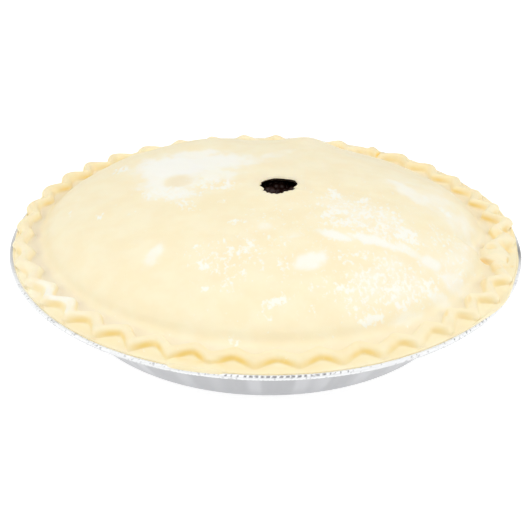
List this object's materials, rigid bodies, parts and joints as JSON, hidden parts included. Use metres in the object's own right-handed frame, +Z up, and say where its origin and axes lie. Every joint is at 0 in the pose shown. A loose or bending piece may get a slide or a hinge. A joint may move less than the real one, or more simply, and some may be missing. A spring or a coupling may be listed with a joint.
{
  "type": "bramble pie",
  "caption": "Unbaked round two-crust fruit pie in its foil dish, with a domed lid, a fluted steam vent and a zigzag crimped rim.",
  "frame": {"origin": "middle of the dish's footprint, on the surface it stands on", "axes": "+Z up through the pie, -Y towards the front, +X to the right"},
  "size_m": [0.2299, 0.2298, 0.0533],
  "materials": {
    "foil": "pressed foil, satin",
    "base_pastry": "raw shortcrust pastry, matt",
    "filling": "dark berry filling, wet",
    "lid_pastry": "raw shortcrust pastry dusted with flour, matt"
  },
  "bodies": {
    "root": {"foil_dish": "foil", "base_pastry": "base_pastry", "berry_filling": "filling", "lid_pastry": "lid_pastry"}
  },
  "joints": []
}
